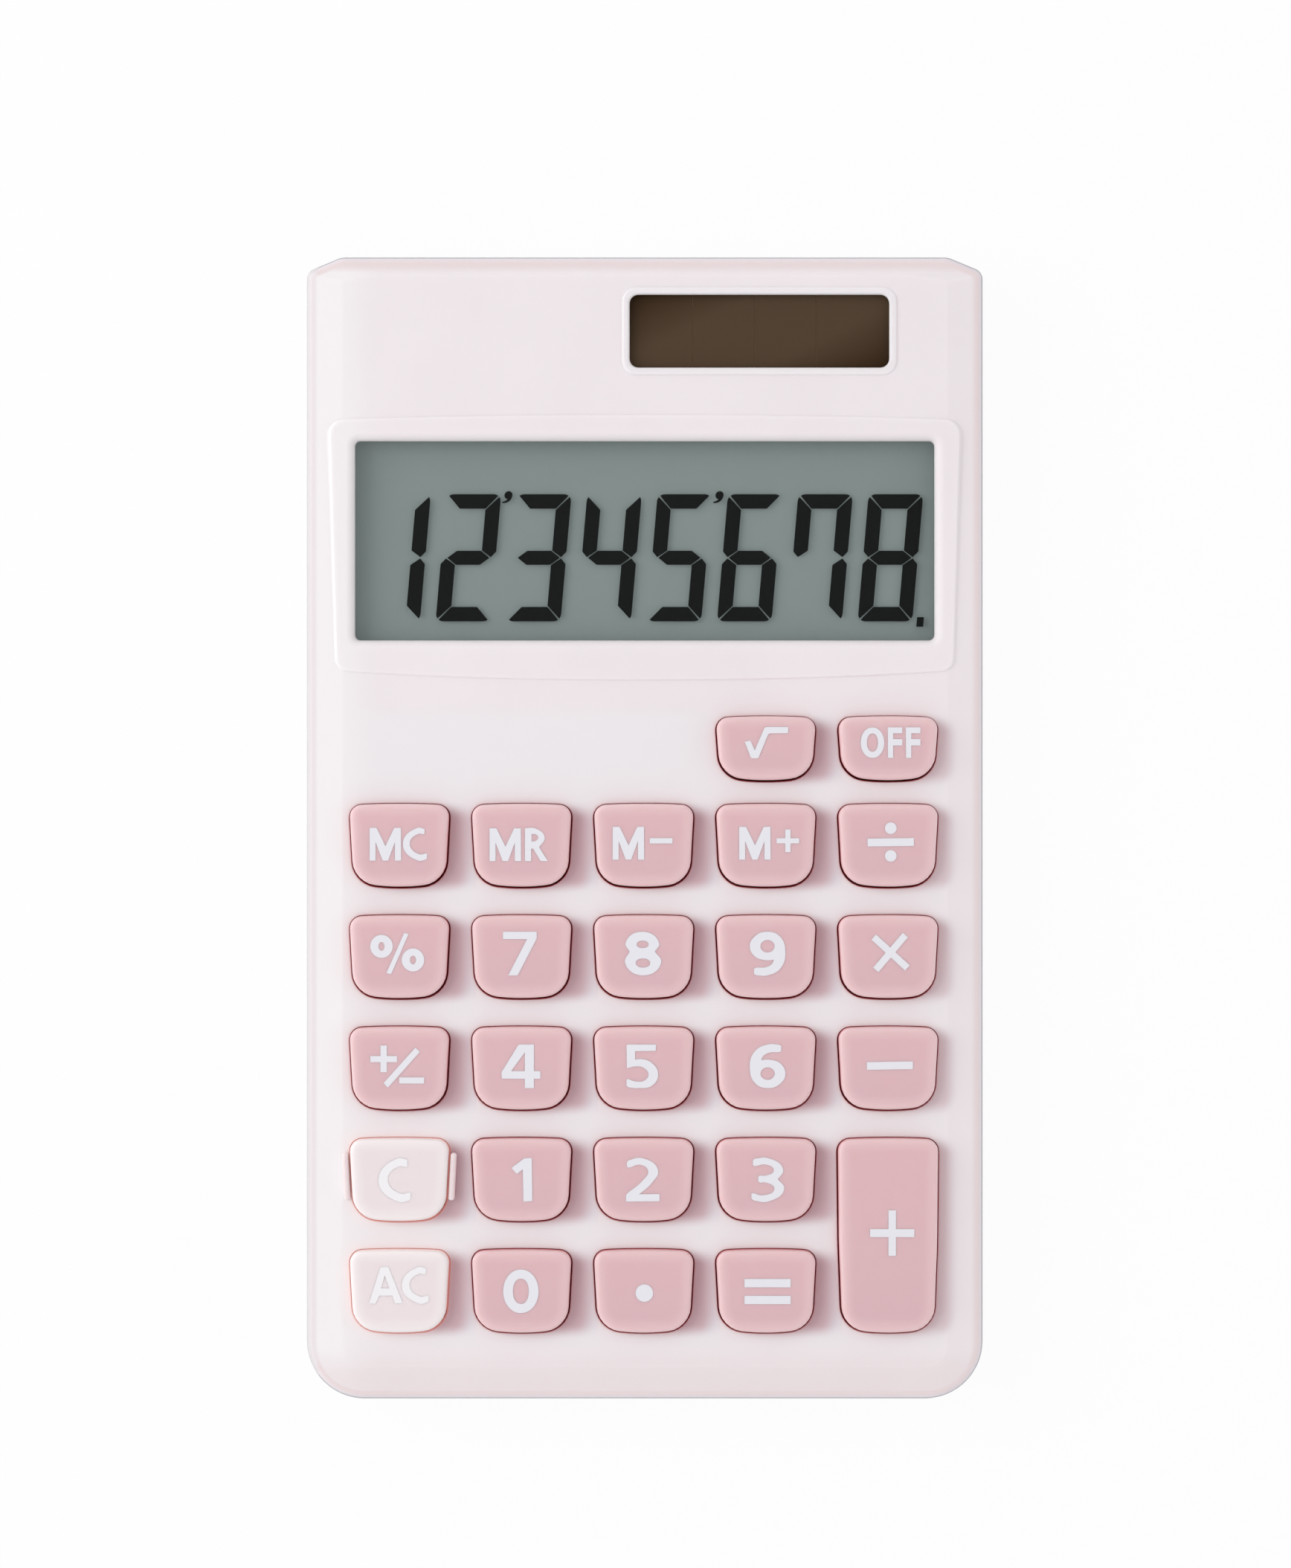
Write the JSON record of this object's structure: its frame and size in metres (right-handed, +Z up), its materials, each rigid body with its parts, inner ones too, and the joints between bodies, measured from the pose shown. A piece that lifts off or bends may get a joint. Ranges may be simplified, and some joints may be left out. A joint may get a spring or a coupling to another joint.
{
  "type": "desk calculator",
  "caption": "Slim desk calculator with a raised display frame, a solar cell backed by a button cell, and domed keys that press down onto a rubber mat.",
  "frame": {"origin": "on the desk, under the middle of the casing", "axes": "+X to the user's right, +Y from the user towards the display end, +Z up out of the keys"},
  "size_m": [0.07, 0.1182, 0.011],
  "materials": {
    "casing": "fine satin moulded plastic, off-white with a faint pink cast",
    "key_pink": "satin dusty-pink moulded plastic",
    "key_pale": "satin off-white moulded plastic",
    "clear_plastic": "clear, polished",
    "lcd_glass": "clear, thin",
    "lcd_ink": "black liquid-crystal segments",
    "lcd_reflector": "grey-green diffusing film",
    "gasket": "black adhesive frame",
    "foam": "dark grey foam",
    "ribbon_film": "amber film with printed tracks",
    "solar_glass": "clear, polished",
    "solar_film": "dark brown amorphous cell",
    "solar_backing": "brown carrier",
    "board": "tan paper laminate",
    "carbon": "dull carbon",
    "resin": "black potting resin",
    "capacitor": "tan ceramic",
    "resistor": "black ceramic",
    "screw_steel": "zinc-plated",
    "keypad_rubber": "soft translucent grey silicone",
    "cell_steel": "nickel-plated can",
    "spring_brass": "plated spring strip",
    "foot_rubber": "soft grey rubber",
    "lead_red": "red insulation",
    "lead_black": "black insulation"
  },
  "bodies": {
    "casing": {"front_casing": "casing", "rear_casing": "casing", "battery_cover": "casing", "rubber_feet": "foot_rubber", "case_screws": "screw_steel", "display_window": "clear_plastic", "display_gasket": "gasket", "lcd_front_glass": "lcd_glass", "lcd_segments": "lcd_ink", "lcd_rear_glass": "lcd_glass", "lcd_reflector": "lcd_reflector", "display_pad": "foam", "display_ribbon": "ribbon_film", "solar_glass": "solar_glass", "solar_cells": "solar_film", "solar_backing": "solar_backing", "circuit_board": "board", "contact_pads": "carbon", "chip_cap": "resin", "capacitors": "capacitor", "resistors": "resistor", "board_screws": "screw_steel", "keypad_mat": "keypad_rubber", "contact_pills": "carbon", "button_cell": "cell_steel", "cell_contact_plus": "spring_brass", "cell_contact_minus": "spring_brass", "battery_cover_screw": "screw_steel", "solar_lead_plus": "lead_red", "solar_lead_minus": "lead_black", "cell_lead_plus": "lead_red", "cell_lead_minus": "lead_black"},
    "key_square_root": {"key_square_root": "key_pink"},
    "key_off": {"key_off": "key_pink"},
    "key_memory_clear": {"key_memory_clear": "key_pink"},
    "key_memory_recall": {"key_memory_recall": "key_pink"},
    "key_memory_minus": {"key_memory_minus": "key_pink"},
    "key_memory_plus": {"key_memory_plus": "key_pink"},
    "key_divide": {"key_divide": "key_pink"},
    "key_percent": {"key_percent": "key_pink"},
    "key_7": {"key_7": "key_pink"},
    "key_8": {"key_8": "key_pink"},
    "key_9": {"key_9": "key_pink"},
    "key_multiply": {"key_multiply": "key_pink"},
    "key_sign": {"key_sign": "key_pink"},
    "key_4": {"key_4": "key_pink"},
    "key_5": {"key_5": "key_pink"},
    "key_6": {"key_6": "key_pink"},
    "key_minus": {"key_minus": "key_pink"},
    "key_clear": {"key_clear": "key_pale"},
    "key_1": {"key_1": "key_pink"},
    "key_2": {"key_2": "key_pink"},
    "key_3": {"key_3": "key_pink"},
    "key_plus": {"key_plus": "key_pink"},
    "key_all_clear": {"key_all_clear": "key_pale"},
    "key_0": {"key_0": "key_pink"},
    "key_decimal": {"key_decimal": "key_pink"},
    "key_equals": {"key_equals": "key_pink"}
  },
  "joints": [
    {"name": "key_square_root_press", "type": "slide", "parent": "casing", "child": "key_square_root", "axis": [0, 0, -1], "range_m": [0, 0.0009], "stiffness_N_per_m": 800, "springref_m": -0.0004, "deforming": ["keypad_mat"]},
    {"name": "key_off_press", "type": "slide", "parent": "casing", "child": "key_off", "axis": [0, 0, -1], "range_m": [0, 0.0009], "stiffness_N_per_m": 800, "springref_m": -0.0004, "deforming": ["keypad_mat"]},
    {"name": "key_memory_clear_press", "type": "slide", "parent": "casing", "child": "key_memory_clear", "axis": [0, 0, -1], "range_m": [0, 0.0009], "stiffness_N_per_m": 800, "springref_m": -0.0004, "deforming": ["keypad_mat"]},
    {"name": "key_memory_recall_press", "type": "slide", "parent": "casing", "child": "key_memory_recall", "axis": [0, 0, -1], "range_m": [0, 0.0009], "stiffness_N_per_m": 800, "springref_m": -0.0004, "deforming": ["keypad_mat"]},
    {"name": "key_memory_minus_press", "type": "slide", "parent": "casing", "child": "key_memory_minus", "axis": [0, 0, -1], "range_m": [0, 0.0009], "stiffness_N_per_m": 800, "springref_m": -0.0004, "deforming": ["keypad_mat"]},
    {"name": "key_memory_plus_press", "type": "slide", "parent": "casing", "child": "key_memory_plus", "axis": [0, 0, -1], "range_m": [0, 0.0009], "stiffness_N_per_m": 800, "springref_m": -0.0004, "deforming": ["keypad_mat"]},
    {"name": "key_divide_press", "type": "slide", "parent": "casing", "child": "key_divide", "axis": [0, 0, -1], "range_m": [0, 0.0009], "stiffness_N_per_m": 800, "springref_m": -0.0004, "deforming": ["keypad_mat"]},
    {"name": "key_percent_press", "type": "slide", "parent": "casing", "child": "key_percent", "axis": [0, 0, -1], "range_m": [0, 0.0009], "stiffness_N_per_m": 800, "springref_m": -0.0004, "deforming": ["keypad_mat"]},
    {"name": "key_7_press", "type": "slide", "parent": "casing", "child": "key_7", "axis": [0, 0, -1], "range_m": [0, 0.0009], "stiffness_N_per_m": 800, "springref_m": -0.0004, "deforming": ["keypad_mat"]},
    {"name": "key_8_press", "type": "slide", "parent": "casing", "child": "key_8", "axis": [0, 0, -1], "range_m": [0, 0.0009], "stiffness_N_per_m": 800, "springref_m": -0.0004, "deforming": ["keypad_mat"]},
    {"name": "key_9_press", "type": "slide", "parent": "casing", "child": "key_9", "axis": [0, 0, -1], "range_m": [0, 0.0009], "stiffness_N_per_m": 800, "springref_m": -0.0004, "deforming": ["keypad_mat"]},
    {"name": "key_multiply_press", "type": "slide", "parent": "casing", "child": "key_multiply", "axis": [0, 0, -1], "range_m": [0, 0.0009], "stiffness_N_per_m": 800, "springref_m": -0.0004, "deforming": ["keypad_mat"]},
    {"name": "key_sign_press", "type": "slide", "parent": "casing", "child": "key_sign", "axis": [0, 0, -1], "range_m": [0, 0.0009], "stiffness_N_per_m": 800, "springref_m": -0.0004, "deforming": ["keypad_mat"]},
    {"name": "key_4_press", "type": "slide", "parent": "casing", "child": "key_4", "axis": [0, 0, -1], "range_m": [0, 0.0009], "stiffness_N_per_m": 800, "springref_m": -0.0004, "deforming": ["keypad_mat"]},
    {"name": "key_5_press", "type": "slide", "parent": "casing", "child": "key_5", "axis": [0, 0, -1], "range_m": [0, 0.0009], "stiffness_N_per_m": 800, "springref_m": -0.0004, "deforming": ["keypad_mat"]},
    {"name": "key_6_press", "type": "slide", "parent": "casing", "child": "key_6", "axis": [0, 0, -1], "range_m": [0, 0.0009], "stiffness_N_per_m": 800, "springref_m": -0.0004, "deforming": ["keypad_mat"]},
    {"name": "key_minus_press", "type": "slide", "parent": "casing", "child": "key_minus", "axis": [0, 0, -1], "range_m": [0, 0.0009], "stiffness_N_per_m": 800, "springref_m": -0.0004, "deforming": ["keypad_mat"]},
    {"name": "key_clear_press", "type": "slide", "parent": "casing", "child": "key_clear", "axis": [0, 0, -1], "range_m": [0, 0.0009], "stiffness_N_per_m": 800, "springref_m": -0.0004, "deforming": ["keypad_mat"]},
    {"name": "key_1_press", "type": "slide", "parent": "casing", "child": "key_1", "axis": [0, 0, -1], "range_m": [0, 0.0009], "stiffness_N_per_m": 800, "springref_m": -0.0004, "deforming": ["keypad_mat"]},
    {"name": "key_2_press", "type": "slide", "parent": "casing", "child": "key_2", "axis": [0, 0, -1], "range_m": [0, 0.0009], "stiffness_N_per_m": 800, "springref_m": -0.0004, "deforming": ["keypad_mat"]},
    {"name": "key_3_press", "type": "slide", "parent": "casing", "child": "key_3", "axis": [0, 0, -1], "range_m": [0, 0.0009], "stiffness_N_per_m": 800, "springref_m": -0.0004, "deforming": ["keypad_mat"]},
    {"name": "key_plus_press", "type": "slide", "parent": "casing", "child": "key_plus", "axis": [0, 0, -1], "range_m": [0, 0.0009], "stiffness_N_per_m": 800, "springref_m": -0.0004, "deforming": ["keypad_mat"]},
    {"name": "key_all_clear_press", "type": "slide", "parent": "casing", "child": "key_all_clear", "axis": [0, 0, -1], "range_m": [0, 0.0009], "stiffness_N_per_m": 800, "springref_m": -0.0004, "deforming": ["keypad_mat"]},
    {"name": "key_0_press", "type": "slide", "parent": "casing", "child": "key_0", "axis": [0, 0, -1], "range_m": [0, 0.0009], "stiffness_N_per_m": 800, "springref_m": -0.0004, "deforming": ["keypad_mat"]},
    {"name": "key_decimal_press", "type": "slide", "parent": "casing", "child": "key_decimal", "axis": [0, 0, -1], "range_m": [0, 0.0009], "stiffness_N_per_m": 800, "springref_m": -0.0004, "deforming": ["keypad_mat"]},
    {"name": "key_equals_press", "type": "slide", "parent": "casing", "child": "key_equals", "axis": [0, 0, -1], "range_m": [0, 0.0009], "stiffness_N_per_m": 800, "springref_m": -0.0004, "deforming": ["keypad_mat"]}
  ]
}
